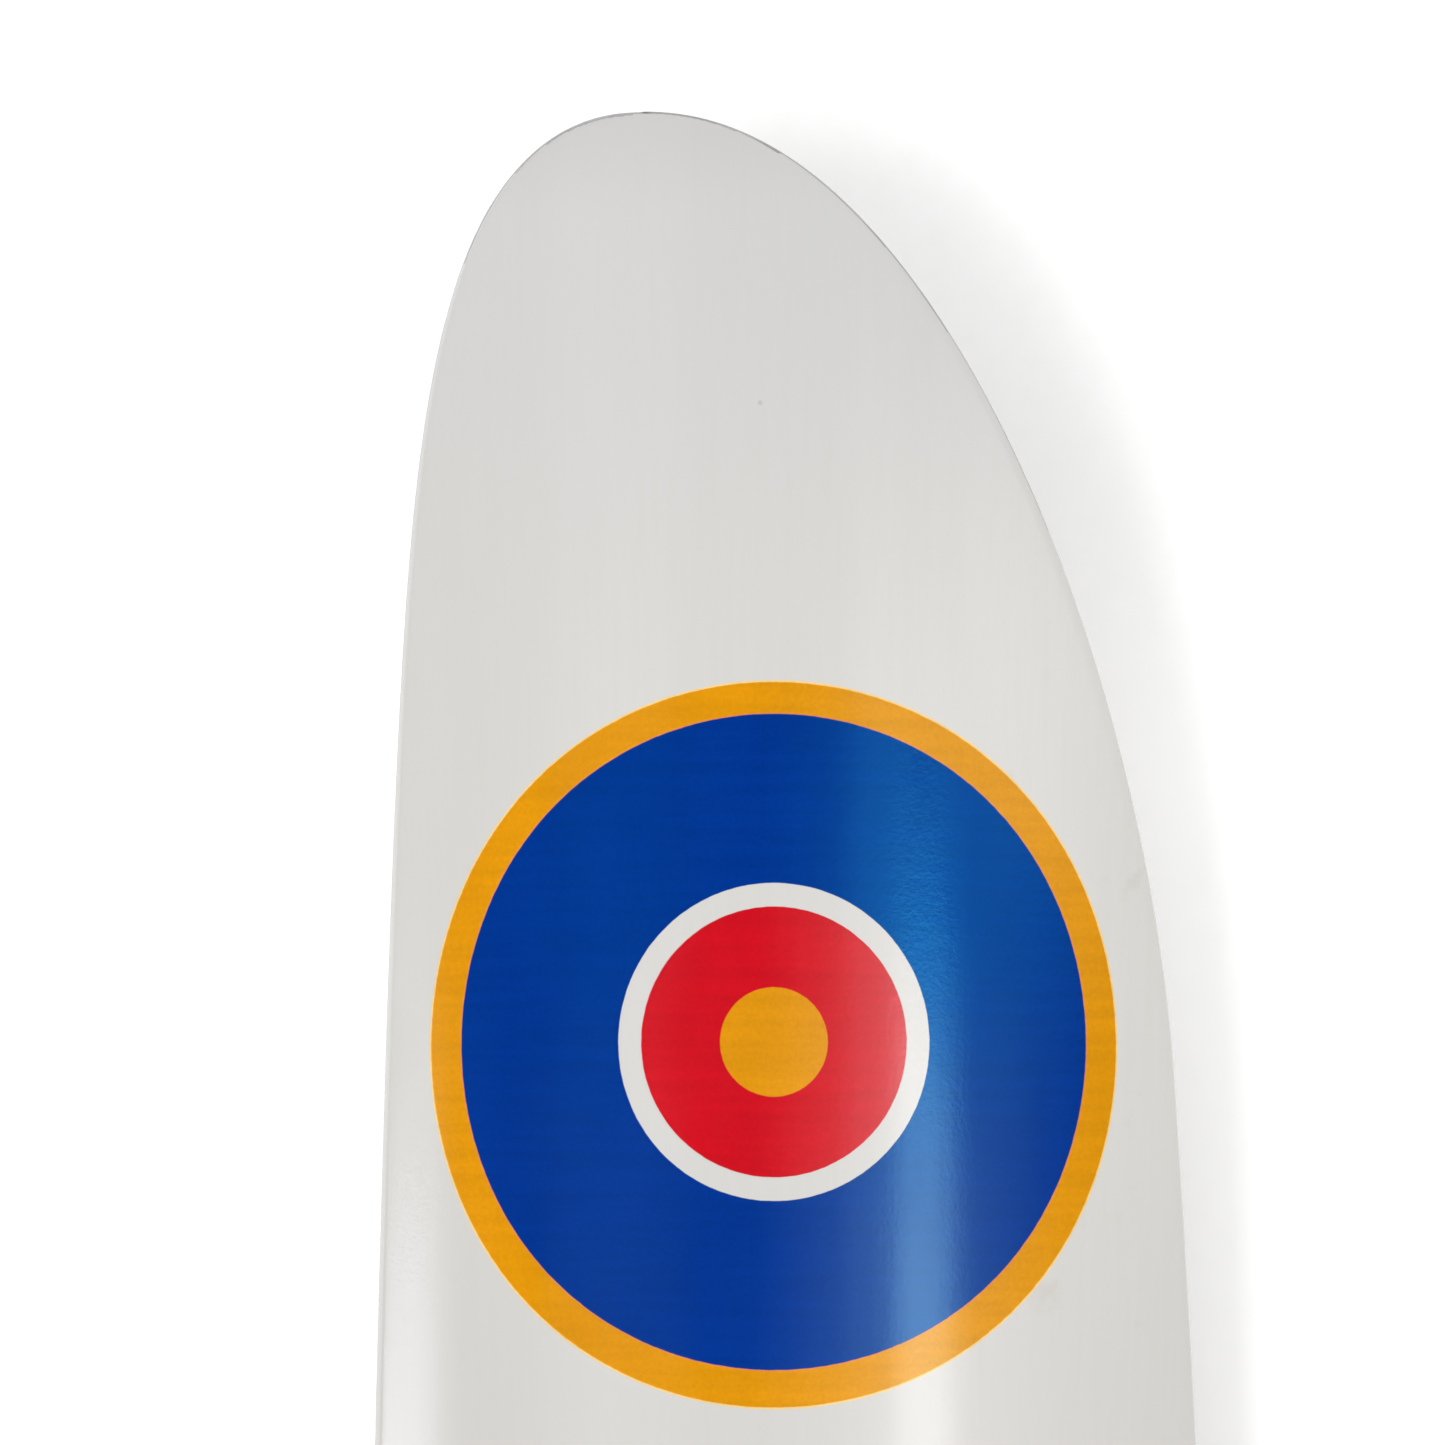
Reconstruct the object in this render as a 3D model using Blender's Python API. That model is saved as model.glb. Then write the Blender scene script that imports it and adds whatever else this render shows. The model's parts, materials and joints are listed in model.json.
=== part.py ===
"""Slot-together balsa hand glider: nose towards -Y, tail towards +Y, +Z up, in metres.

The origin lies on the flat underside of the belly skid, below the middle of the wing. A solid balsa
profile fuselage carries an arched wing of two panels in a curved slot, a tailplane, a fin, two
elevators and a rudder that turn on steel wires in brass tubes, and a brass cap and two lead slugs as
nose weight.
"""

import math

import bmesh
import bpy
import numpy as np

MM = 0.001
GAP = 0.3 * MM  # glue line or clearance between neighbouring pieces

# ---- wing -------------------------------------------------------------------------------------
HALF_SPAN = 300 * MM
ARCH_R = 94 * MM  # radius of the top of the arched sheet
APEX_Z = 30 * MM  # top of the arch at the centre line
DIHEDRAL = math.tan(math.radians(3.5))
WING_SHEET = 3.0 * MM
TRAILING_SHEET = 0.9 * MM  # thickness that the underside is sanded to at the trailing edge
SANDED_FROM = 0.65  # fraction of the chord where that taper starts
ARCH_AXIS = (0, 0, APEX_Z - ARCH_R)  # a place on the axis that the wing turns about as it slides
TIP_Y = -17.1 * MM  # the tip's foremost reach along the chord line
LEADING = {"depth": 27.25 * MM, "length": 300 * MM, "power": 14.1, "root": 2.18, "sweep": -0.0525}
TRAILING = {"depth": 56.5 * MM, "length": 118 * MM, "power": 1.78, "root": 2.18, "sweep": 0.1162}
WING_TRAVEL = math.radians(3)  # the wing slides this far each way round its arch

# ---- fuselage plank ---------------------------------------------------------------------------
PLANK_W = 8 * MM
PLANK_ROUND = 2.0 * MM
NOSE_Y, TAIL_Y = -150 * MM, 288 * MM
BELLY_Z = 1.9 * MM
DECK_Z = 46 * MM
DECK_Y = (-44 * MM, 40 * MM)
BELLY_Y = (-88 * MM, 66 * MM)
CHEEK_T = 1.5 * MM
SLOT_UP, SLOT_DOWN = 0.75 * MM, 0.4 * MM  # slot clearance above and below the wing sheet
SLOT_END = 0.008  # angle left at each end of the slot beyond the wing's travel

# ---- tail -------------------------------------------------------------------------------------
TAIL_SHEET = 3.0 * MM
TAIL_EDGE = 1.1 * MM
HINGE_Y = 256 * MM
TAIL_Z = 27 * MM
TAIL_HALF_SPAN = 110 * MM
TAIL_CHORD = 54.5 * MM
ELEVATOR_X = (8 * MM, 101 * MM)
ELEVATOR_CHORD = 26 * MM
FIN_HINGE_Y = 258 * MM
FIN_BASE_Z, FIN_TOP_Z = 32.6 * MM, 106 * MM
FIN_CHORD = 54 * MM
RUDDER_Z = (39 * MM, 104 * MM)
RUDDER_CHORD = 31 * MM
HINGE_INSET = 1.5 * MM  # each surface's edge stands this far from the hinge axis
TUBE_R, BORE_R, WIRE_R = 1.2 * MM, 0.85 * MM, 0.5 * MM
TUBE_GAP = 0.4 * MM

# ---- nose weight ------------------------------------------------------------------------------
CAP_END_Y = -128 * MM
CAP_T = 0.8 * MM
RIVET_R, RIVET_HOLE_R, RIVET_HEAD_R = 0.9 * MM, 1.3 * MM, 1.9 * MM
RIVETS = {"nose_rivet_upper": (-136.5 * MM, 27.5 * MM), "nose_rivet_lower": (-136.5 * MM, 16.5 * MM)}
SLUGS = {"ballast_slug_front": (-113 * MM, 21.5 * MM), "ballast_slug_rear": (-98 * MM, 21.5 * MM)}
SLUG_R, SLUG_HOLE_R = 5.6 * MM, 6.0 * MM
DOWELS = {"cheek_dowel_front": (-78 * MM, 30 * MM), "cheek_dowel_rear": (56 * MM, 34 * MM)}
DOWEL_R = 1.6 * MM

COLOURS = {
    "paint": ((0.70, 0.69, 0.66), 0.32, 0.0),
    "balsa": ((0.72, 0.53, 0.33), 0.45, 0.0),
    "birch": ((0.66, 0.45, 0.25), 0.40, 0.0),
    "spruce": ((0.60, 0.40, 0.20), 0.40, 0.0),
    "brass": ((0.72, 0.50, 0.18), 0.25, 1.0),
    "steel": ((0.55, 0.56, 0.58), 0.25, 1.0),
    "lead": ((0.16, 0.17, 0.19), 0.55, 0.8),
    "canopy": ((0.03, 0.16, 0.50), 0.08, 0.0),
    "cork": ((0.45, 0.27, 0.13), 0.85, 0.0),
}


# ---- objects and materials --------------------------------------------------------------------
def clear_scene():
    for obj in list(bpy.data.objects):
        bpy.data.objects.remove(obj)


def material(name, colour_name):
    colour, roughness, metallic = COLOURS[colour_name]
    mat = bpy.data.materials.new(name)
    mat.use_nodes = True
    shader = mat.node_tree.nodes["Principled BSDF"]
    shader.inputs["Base Color"].default_value = (*colour, 1.0)
    shader.inputs["Roughness"].default_value = roughness
    shader.inputs["Metallic"].default_value = metallic
    return mat


def add_object(name, mesh_data, colour_name, origin=(0, 0, 0)):
    """Link one object whose mesh is given in world places and whose origin is moved to origin."""
    mesh = bpy.data.meshes.new(name)
    bm = mesh_data if isinstance(mesh_data, bmesh.types.BMesh) else bmesh_from(*mesh_data)
    bmesh.ops.translate(bm, verts=bm.verts, vec=[-value for value in origin])
    bmesh.ops.recalc_face_normals(bm, faces=bm.faces)
    bm.to_mesh(mesh)
    bm.free()
    mesh.shade_smooth()
    mesh.set_sharp_from_angle(angle=math.radians(35))
    obj = bpy.data.objects.new(name, mesh)
    obj.location = origin
    bpy.context.scene.collection.objects.link(obj)
    if colour_name:
        mesh.materials.append(material(name, colour_name))
    else:
        obj.hide_render = True
        obj.display_type = "WIRE"
    return obj


def bmesh_from(points, faces):
    bm = bmesh.new()
    verts = [bm.verts.new(point) for point in points]
    for face in faces:
        bm.faces.new([verts[index] for index in face])
    return bm


def cut(obj, cutter):
    modifier = obj.modifiers.new(cutter.name, "BOOLEAN")
    modifier.operation = "DIFFERENCE"
    modifier.solver = "EXACT"
    modifier.object = cutter


# ---- outlines ---------------------------------------------------------------------------------
def eased_sweep(inboard, sweep):
    """Sideways shift of an edge that fades to none at the centre line."""
    return sweep * (inboard - inboard * inboard / (2 * HALF_SPAN))


def edge_depth(inboard, edge):
    """How far a wing edge stands from the tip's chord place, this far inboard of the tip."""
    left = max(0.0, 1 - inboard / edge["length"])
    return edge["depth"] * (1 - left ** edge["power"]) ** (1 / edge["root"])


def wing_edges(inboard):
    """The y of the leading and the trailing edge, this far inboard of the tip."""
    front = TIP_Y - edge_depth(inboard, LEADING) + eased_sweep(inboard, LEADING["sweep"])
    back = TIP_Y + edge_depth(inboard, TRAILING) + eased_sweep(inboard, TRAILING["sweep"])
    return front, back


def superellipse(share, power, root):
    return max(0.0, 1 - abs(share) ** power) ** (1 / root)


def tailplane_edges(x):
    back = HINGE_Y - HINGE_INSET
    return back - TAIL_CHORD * superellipse(x / TAIL_HALF_SPAN, 2.3, 1.9), back


def elevator_edges(x):
    front = HINGE_Y + HINGE_INSET
    return front, front + ELEVATOR_CHORD * superellipse(x / (TAIL_HALF_SPAN - 4 * MM), 2.6, 2.0)


def fin_edges(z):
    back = FIN_HINGE_Y - HINGE_INSET
    share = (z - FIN_BASE_Z) / (FIN_TOP_Z - FIN_BASE_Z)
    return back - FIN_CHORD * superellipse(share, 1.7, 1.9), back


def rudder_edges(z):
    front = FIN_HINGE_Y + HINGE_INSET
    middle = 62 * MM
    reach = (FIN_TOP_Z - middle) if z > middle else 46 * MM
    return front, front + RUDDER_CHORD * superellipse((z - middle) / reach, 2.2, 1.9)


def smooth_line(places, count):
    """Points along a Catmull-Rom curve through hand-placed points."""
    ends = [places[0], *places, places[-1]]
    line = []
    for start in range(len(places) - 1):
        a, b, c, d = (np.array(ends[start + step]) for step in range(4))
        for step in range(count):
            t = step / count
            bend = (2 * a - 5 * b + 4 * c - d) * t * t + (3 * b - a - 3 * c + d) * t**3
            line.append(tuple((2 * b + (c - a) * t + bend) / 2))
    return line


def plank_outline():
    """The fuselage's side view as (y, z), anticlockwise from the front of the flat belly."""
    tail = [BELLY_Y[1], BELLY_Z], [0.112, 0.0052], [0.172, 0.0118], [0.232, 0.0190], [0.276, 0.0240]
    stern = [0.2855, 0.0262], [TAIL_Y, 0.0300], [0.2855, 0.0340]
    back = [0.270, 0.0356], [0.230, 0.0368], [0.175, 0.0395], [0.112, 0.0432], [DECK_Y[1], DECK_Z]
    bonnet = [DECK_Y[0], DECK_Z], [-0.075, 0.0440], [-0.110, 0.0400], [-0.134, 0.0350]
    nose = [-0.1455, 0.0292], [NOSE_Y, 0.0212], [-0.1460, 0.0135], [-0.134, 0.0076]
    belly = [-0.112, 0.0034], [BELLY_Y[0], BELLY_Z]
    return smooth_line([*tail, *stern, *back], 4) + smooth_line([*bonnet, *nose, *belly], 4) + [belly[-1]]


def height_at(outline, y, side):
    """The outline's lowest (side -1) or highest (side 1) z at one y."""
    found = []
    for (y0, z0), (y1, z1) in zip(outline, outline[1:] + outline[:1]):
        if min(y0, y1) <= y <= max(y0, y1) and y0 != y1:
            found.append(z0 + (z1 - z0) * (y - y0) / (y1 - y0))
    return max(found) if side > 0 else min(found)


def oblong(centre, half_length, half_height, power, count):
    """A closed superellipse as (y, z) points, anticlockwise."""
    points = []
    for step in range(count):
        angle = 2 * math.pi * (step + 0.5) / count
        across, up = math.cos(angle), math.sin(angle)
        y = centre[0] + half_length * math.copysign(abs(across) ** (2 / power), across)
        z = centre[1] + half_height * math.copysign(abs(up) ** (2 / power), up)
        points.append((y, z))
    return points


def offset(outline, distance):
    """A closed anticlockwise outline moved outwards (inwards when negative), with mitred corners."""
    points = np.array(outline)
    before = points - np.roll(points, 1, axis=0)
    after = np.roll(points, -1, axis=0) - points
    normals = []
    for one, two in zip(before, after):
        first = np.array([one[1], -one[0]]) / np.hypot(*one)
        second = np.array([two[1], -two[0]]) / np.hypot(*two)
        middle = first + second
        normals.append(2 * middle / max(0.6, middle @ middle))
    return [tuple(place) for place in points + distance * np.array(normals)]


# ---- solids -----------------------------------------------------------------------------------
def prism(outline, x_low, x_high, rounding=0.0, steps=3):
    """A plate across X from a closed (y, z) outline, its rims rounded by this radius."""
    rings = []
    for side, x in ((-1, x_low), (1, x_high)):
        for step in range(steps + 1 if rounding else 1):
            angle = math.pi / 2 * step / steps
            inset = rounding * (1 - math.sin(angle if side < 0 else math.pi / 2 - angle))
            depth = rounding * (1 - math.cos(angle if side < 0 else math.pi / 2 - angle))
            ring = offset(outline, -inset) if inset > 0 else outline
            rings.append([(x - side * depth, y, z) for y, z in ring])
    return skin(rings)


def skin(rings):
    """A closed solid through a row of equal rings, with a face over each end."""
    size = len(rings[0])
    points = [point for ring in rings for point in ring]
    faces = [tuple(range(size))[::-1], tuple(range(len(points) - size, len(points)))]
    for row in range(len(rings) - 1):
        for spot in range(size):
            follow = (spot + 1) % size
            a, b = row * size + spot, row * size + follow
            faces.append((a, b, b + size, a + size))
    return points, faces


def rod(start, end, radii, sides, axis):
    """A turned solid along one axis: radii is a list of (share of the length, radius)."""
    rings = []
    for share, radius in radii:
        centre = np.array(start) + (np.array(end) - np.array(start)) * share
        ring = []
        for step in range(sides):
            angle = 2 * math.pi * step / sides
            spot = centre.copy()
            spot[(axis + 1) % 3] += radius * math.cos(angle)
            spot[(axis + 2) % 3] += radius * math.sin(angle)
            ring.append(tuple(spot))
        rings.append(ring)
    return skin(rings)


def tube(start, end, axis, sides=16):
    """A hinge tube: a closed ring of four walls round the hinge axis."""
    bm = bmesh.new()
    loops = []
    for centre, radius in ((start, TUBE_R), (end, TUBE_R), (end, BORE_R), (start, BORE_R)):
        loop = []
        for step in range(sides):
            angle = 2 * math.pi * step / sides
            spot = np.array(centre, float)
            spot[(axis + 1) % 3] += radius * math.cos(angle)
            spot[(axis + 2) % 3] += radius * math.sin(angle)
            loop.append(bm.verts.new(spot))
        loops.append(loop)
    for row in range(4):
        for step in range(sides):
            follow = (step + 1) % sides
            near, far = loops[row], loops[(row + 1) % 4]
            bm.faces.new((near[step], near[follow], far[follow], far[step]))
    return bm


def distance_to(line, place):
    """Shortest distance from a place to an open line of points."""
    start, end = line[:-1], line[1:]
    run = end - start
    share = np.einsum("ij,ij->i", place - start, run) / np.maximum(np.einsum("ij,ij->i", run, run), 1e-18)
    nearest = start + run * np.clip(share, 0, 1)[:, None]
    return np.hypot(*(place - nearest).T).min()


def sheet(stations, edges, thickness, place, rims, across=5):
    """A solid sheet lofted along its stations, with its rim rounded to half its thickness.

    edges gives the two ends of a station's chord, thickness the sheet's thickness at a station and a
    share of the chord, and place turns (station, chord place, height above mid-sheet) into a point.
    rims lists the open lines of (station, chord place) points that are rounded, and across is how
    many strips lie between the rounded rims.
    """
    shares = [0, 0.15, 0.45, 1.0]  # places inside the rounded rim, in units of its radius
    rims = [np.array(line) for line in rims]
    rings = []
    for station in stations:
        low, high = edges(station)
        chord = high - low
        front, back = thickness(station, 0) / 2, thickness(station, 1) / 2
        front, back = min(front, chord * 0.2), min(back, chord * 0.2)
        spots = [low + front * share for share in shares]
        inner = [low + front, high - back]
        spots += list(np.linspace(inner[0], inner[1], across + 1)[1:-1])
        spots += [high - back * share for share in shares[::-1]]
        upper, lower = [], []
        for spot in spots:
            half = thickness(station, (spot - low) / chord) / 2
            away = min(distance_to(line, np.array((station, spot))) for line in rims)
            depth = min(1.0, away / half)
            lift = half * math.sqrt(max(0.0, 1 - (1 - depth) ** 2))
            upper.append(place(station, spot, half, lift))
            lower.append(place(station, spot, half, -lift))
        rings.append(upper + lower[-2:0:-1])
    return skin(rings)


# ---- wing -------------------------------------------------------------------------------------
def wing_thickness(inboard, share):
    taper = max(0.0, share - SANDED_FROM) / (1 - SANDED_FROM)
    root = WING_SHEET + (TRAILING_SHEET - WING_SHEET) * taper
    return root * min(1.0, 0.6 + inboard / (60 * MM))


def arch_point(x, y, depth):
    """A point this deep below the arch's top, at one x and arc place y."""
    angle = math.asin(y / ARCH_R)
    radius = ARCH_R - depth
    return x, radius * math.sin(angle), APEX_Z - ARCH_R + radius * math.cos(angle) + abs(x) * DIHEDRAL


def wing_panel(side):
    name = "wing_panel_left" if side > 0 else "wing_panel_right"
    near_tip = [0.03, 0.2, 0.6, 1.3, 2.4, 4, 6.5, 10, 15, 21, 29, 39]
    further_in = [52, 68, 86, 106, 130, 160, 195, 230, 265]
    stations = [value * MM for value in near_tip + further_in] + [HALF_SPAN - GAP / 2]

    def place(inboard, y, half, lift):
        return arch_point(side * (HALF_SPAN - inboard), y, half - lift)

    inboards = [HALF_SPAN * (step / 160) ** 2.5 for step in range(161)]
    front = [(inboard, wing_edges(inboard)[0]) for inboard in inboards]
    back = [(inboard, wing_edges(inboard)[1]) for inboard in inboards]
    mesh = sheet(stations, wing_edges, wing_thickness, place, [front, back], 12)
    add_object(name, mesh, "paint", ARCH_AXIS)


def dihedral_brace():
    """A ply blade under both panels, at the top of the arch, that holds the dihedral."""
    reach, height, half_width = 42 * MM, 6 * MM, 1.0 * MM
    top = APEX_Z - WING_SHEET - 2 * GAP
    rings = []
    for y in (-half_width, half_width):
        ring = []
        for x, drop in ((-reach, 2.5 * MM), (0, height), (reach, 2.5 * MM), (reach, 0), (0, 0), (-reach, 0)):
            ring.append((x, y, top + abs(x) * DIHEDRAL - drop))
        rings.append(ring)
    add_object("dihedral_brace", skin(rings), "birch", ARCH_AXIS)


def wing_rib(name, side, x_middle, front_share):
    """A balsa former whose curved top fills the underside of the arch."""
    half_width = 1.0 * MM
    low, high = wing_edges(HALF_SPAN - x_middle)
    front = low + (high - low) * front_share
    back = low + (high - low) * (SANDED_FROM - 0.03)
    top = [front + (back - front) * step / 12 for step in range(13)]
    rings = []
    for x in (x_middle - half_width, x_middle + half_width):
        upper = [arch_point(side * x, y, WING_SHEET + GAP) for y in top]
        foot = min(upper[0][2], upper[-1][2]) - 1.6 * MM
        rings.append(upper + [(*upper[-1][:2], foot), (*upper[0][:2], foot)])
    return add_object(name, skin(rings), "balsa", ARCH_AXIS)


def make_wing(rib_notch):
    for side, word in ((1, "left"), (-1, "right")):
        wing_panel(side)
        root = wing_rib("rib_root_" + word, side, 7.8 * MM, 0.12)
        wing_rib("rib_middle_" + word, side, 110 * MM, 0.12)
        wing_rib("rib_outer_" + word, side, 196 * MM, 0.14)
        cut(root, rib_notch)
    dihedral_brace()


# ---- fuselage ---------------------------------------------------------------------------------
def arch_slot():
    """The curved slot that the wing slides in, long enough for its travel."""
    low, high = wing_edges(HALF_SPAN)
    front = math.asin(low / ARCH_R) - WING_TRAVEL - SLOT_END
    back = math.asin(high / ARCH_R) + WING_TRAVEL + SLOT_END
    angles = [front + (back - front) * step / 24 for step in range(25)]
    outer, inner = ARCH_R + SLOT_UP, ARCH_R - WING_SHEET - SLOT_DOWN
    ring = [radius_point(outer, angle) for angle in angles]
    ring += [radius_point(inner, angle) for angle in reversed(angles)]
    return add_object("wing_slot_cutter", prism(ring, -10 * MM, 10 * MM), None)


def radius_point(radius, angle):
    return radius * math.sin(angle), APEX_Z - ARCH_R + radius * math.cos(angle)


def box_cutter(name, low, high):
    ring = [(low[1], low[2]), (high[1], low[2]), (high[1], high[2]), (low[1], high[2])]
    return add_object(name, prism(ring, low[0], high[0]), None)


def round_cutter(name, place, radius, half_length, sides=24):
    y, z = place
    ends = (-half_length, y, z), (half_length, y, z)
    return add_object(name, rod(*ends, [(0, radius), (1, radius)], sides, 0), None)


def make_plank(outline, slot, notch):
    plank = add_object("fuselage_plank", prism(outline, -PLANK_W / 2, PLANK_W / 2, PLANK_ROUND), "balsa")
    cut(plank, slot)
    cut(plank, notch)
    clear = GAP + 0.05 * MM
    stab_low = (-6 * MM, HINGE_Y - HINGE_INSET - TAIL_CHORD - 0.5 * MM, TAIL_Z - TAIL_SHEET / 2 - clear)
    stab_high = (6 * MM, HINGE_Y - HINGE_INSET + 0.5 * MM, TAIL_Z + TAIL_SHEET / 2 + clear)
    cut(plank, box_cutter("tailplane_slot_cutter", stab_low, stab_high))
    half = TAIL_SHEET / 2 + clear
    fin_low = (-half, FIN_HINGE_Y - HINGE_INSET - FIN_CHORD - 0.5 * MM, FIN_BASE_Z - GAP)
    fin_high = (half, FIN_HINGE_Y - HINGE_INSET + 0.5 * MM, DECK_Z)
    cut(plank, box_cutter("fin_groove_cutter", fin_low, fin_high))
    for name, place in SLUGS.items():
        cut(plank, round_cutter(name + "_cutter", place, SLUG_HOLE_R, 6 * MM, 32))
    for name, place in RIVETS.items():
        cut(plank, round_cutter(name + "_cutter", place, RIVET_HOLE_R, 8 * MM))
    for name, place in DOWELS.items():
        cut(plank, round_cutter(name + "_cutter", place, DOWEL_R + GAP, 8 * MM))


def cheek_outline(outline):
    """The ply doubler's side view: the plank's own curves drawn in, with rounded ends."""
    start, end = -125 * MM, 68 * MM
    upper, lower = [], []
    for step in range(33):
        share = -math.cos(math.pi * step / 32)
        y = (start + end) / 2 + (end - start) / 2 * share
        swell = superellipse(share, 9, 2.2) if 0 < step < 32 else 0.0
        top = height_at(outline, y, 1) - 3.2 * MM
        bottom = height_at(outline, y, -1) + 2.8 * MM
        middle, half = (top + bottom) / 2, (top - bottom) / 2
        upper.append((y, middle + half * swell))
        lower.append((y, middle - half * swell))
    return lower + upper[-2:0:-1]


def make_cheeks(outline, slot, notch):
    shape = cheek_outline(outline)
    for side, word in ((1, "left"), (-1, "right")):
        inner = side * (PLANK_W / 2 + GAP)
        outer = inner + side * CHEEK_T
        mesh = prism(shape, min(inner, outer), max(inner, outer), 0.35 * MM, 2)
        cheek = add_object("cheek_" + word, mesh, "birch")
        cut(cheek, slot)
        cut(cheek, notch)
        for name in DOWELS:
            cut(cheek, bpy.data.objects[name + "_cutter"])


def make_nose(outline):
    """The folded brass cap round the nose, its two rivets and the slugs buried behind it."""
    clear = offset(outline, GAP)
    outer = offset(outline, GAP + CAP_T)
    half = PLANK_W / 2 + GAP
    cap = add_object("nose_cap", prism(outer, -half - CAP_T, half + CAP_T, 0.5 * MM, 2), "brass")
    cut(cap, add_object("cap_inside_cutter", prism(clear, -half, half), None))
    cut(cap, box_cutter("cap_end_cutter", (-0.02, CAP_END_Y, -0.02), (0.02, TAIL_Y + 0.02, 0.08)))
    reach = half + CAP_T + 0.3 * MM
    head = 0.9 * MM
    total = 2 * (reach + head)
    for name, (y, z) in RIVETS.items():
        cut(cap, bpy.data.objects[name + "_cutter"])
        dome = [(0, 0.9 * MM), (head * 0.35 / total, 1.5 * MM), (head / total, RIVET_HEAD_R)]
        profile = dome + [(head / total + 1e-4, RIVET_R)]
        profile += [(1 - share, radius) for share, radius in reversed(profile)]
        ends = (-total / 2, y, z), (total / 2, y, z)
        add_object(name, rod(*ends, profile, 20, 0), "brass")
    for name, (y, z) in SLUGS.items():
        ends = (-3.7 * MM, y, z), (3.7 * MM, y, z)
        profile = [(0, SLUG_R - 0.4 * MM), (0.06, SLUG_R), (0.94, SLUG_R), (1, SLUG_R - 0.4 * MM)]
        add_object(name, rod(*ends, profile, 28, 0), "lead")


def make_dowels():
    reach = PLANK_W / 2 + GAP + CHEEK_T
    for name, (y, z) in DOWELS.items():
        profile = [(0, DOWEL_R - 0.3 * MM), (0.03, DOWEL_R), (0.97, DOWEL_R), (1, DOWEL_R - 0.3 * MM)]
        add_object(name, rod((-reach, y, z), (reach, y, z), profile, 20, 0), "spruce")


def lying_plate(outline_xy, levels):
    """A flat plate from a closed (y, x) outline and a list of (z, inset) levels from the bottom up."""
    rings = []
    for z, inset in levels:
        ring = offset(outline_xy, -inset) if inset else outline_xy
        rings.append([(x, y, z) for y, x in ring])
    return skin(rings)


def make_belly_skid():
    start, end, half_width = -84 * MM, 62 * MM, 8 * MM
    shape = oblong(((start + end) / 2, 0), (end - start) / 2, half_width, 5, 48)
    top = BELLY_Z - GAP
    levels = [(0, 0), (top - 0.6 * MM, 0), (top - 0.18 * MM, 0.18 * MM), (top, 0.6 * MM)]
    add_object("belly_skid", lying_plate(shape, levels), "spruce")


def make_cockpit():
    """The ply sill on the deck and the moulded canopy that stands on it."""
    shape = oblong((-2 * MM, 0), 39 * MM, 8 * MM, 2.6, 40)
    base = DECK_Z + GAP
    levels = [(base, 0.2 * MM), (base + 0.2 * MM, 0), (base + 0.9 * MM, 0), (base + 1.2 * MM, 0.3 * MM)]
    add_object("cockpit_sill", lying_plate(shape, levels), "birch")
    foot = base + 1.2 * MM + GAP
    front, back, width, height = -35 * MM, 33 * MM, 6.6 * MM, 12.5 * MM
    rings = []
    for step in range(1, 20):
        share = -math.cos(math.pi * step / 20)
        y = (front + back) / 2 + (back - front) / 2 * share
        lead = (share + 1) / 2
        body = (4 * lead * (1 - lead)) ** 0.62 * (1.12 - 0.45 * lead)
        ring = []
        for spot in range(13):
            angle = math.pi * spot / 12
            x = width * min(1.0, body) * math.cos(angle)
            ring.append((x, y, foot + height * body * math.sin(angle) ** 0.9))
        rings.append(ring)
    add_object("canopy", skin(rings), "canopy")


def make_grip_pads():
    shape = oblong((89 * MM, 23.5 * MM), 17 * MM, 10.5 * MM, 3, 28)
    for side, word in ((1, "left"), (-1, "right")):
        inner = side * (PLANK_W / 2 + GAP)
        outer = inner + side * 1.3 * MM
        mesh = prism(shape, min(inner, outer), max(inner, outer), 0.3 * MM, 2)
        add_object("grip_pad_" + word, mesh, "cork")


# ---- tail -------------------------------------------------------------------------------------
def tail_thickness(_station, _share):
    return TAIL_SHEET


def flap_thickness(_station, share):
    return TAIL_SHEET + (TAIL_EDGE - TAIL_SHEET) * share


def rim_of(edges, stations, ends):
    """The rounded outline of a sheet: both edges, and its square ends when they are rounded too."""
    lines = [[(station, edges(station)[side]) for station in stations] for side in (0, 1)]
    for station in ends:
        lines.append([(station, edges(station)[0]), (station, edges(station)[1])])
    return lines


def spread(low, high, count):
    """Places from low to high that crowd towards both ends."""
    return [low + (high - low) * (0.5 - 0.5 * math.cos(math.pi * step / count)) for step in range(count + 1)]


def with_rims(low, high, count, radius):
    """Places from low to high with extra ones where a square end is rounded."""
    near = [low + radius * share for share in (0, 0.15, 0.45)]
    far = [high - radius * share for share in (0.45, 0.15, 0)]
    return near + list(np.linspace(low + radius, high - radius, count)) + far


def make_tailplane():
    tip = TAIL_HALF_SPAN - 0.05 * MM
    stations = spread(-tip, tip, 32)
    rims = rim_of(tailplane_edges, spread(-tip, tip, 160), ())

    def place(x, y, _half, lift):
        return x, y, TAIL_Z + lift

    add_object("tailplane", sheet(stations, tailplane_edges, tail_thickness, place, rims), "paint")


def make_fin():
    top = FIN_TOP_Z - 0.05 * MM
    stations = [FIN_BASE_Z + (top - FIN_BASE_Z) * math.sin(math.pi / 2 * step / 18) for step in range(19)]
    fine = [FIN_BASE_Z + (top - FIN_BASE_Z) * math.sin(math.pi / 2 * step / 120) for step in range(121)]

    def place(z, y, _half, lift):
        return lift, y, z

    add_object("fin", sheet(stations, fin_edges, tail_thickness, place, rim_of(fin_edges, fine, ())), "paint")


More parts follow.
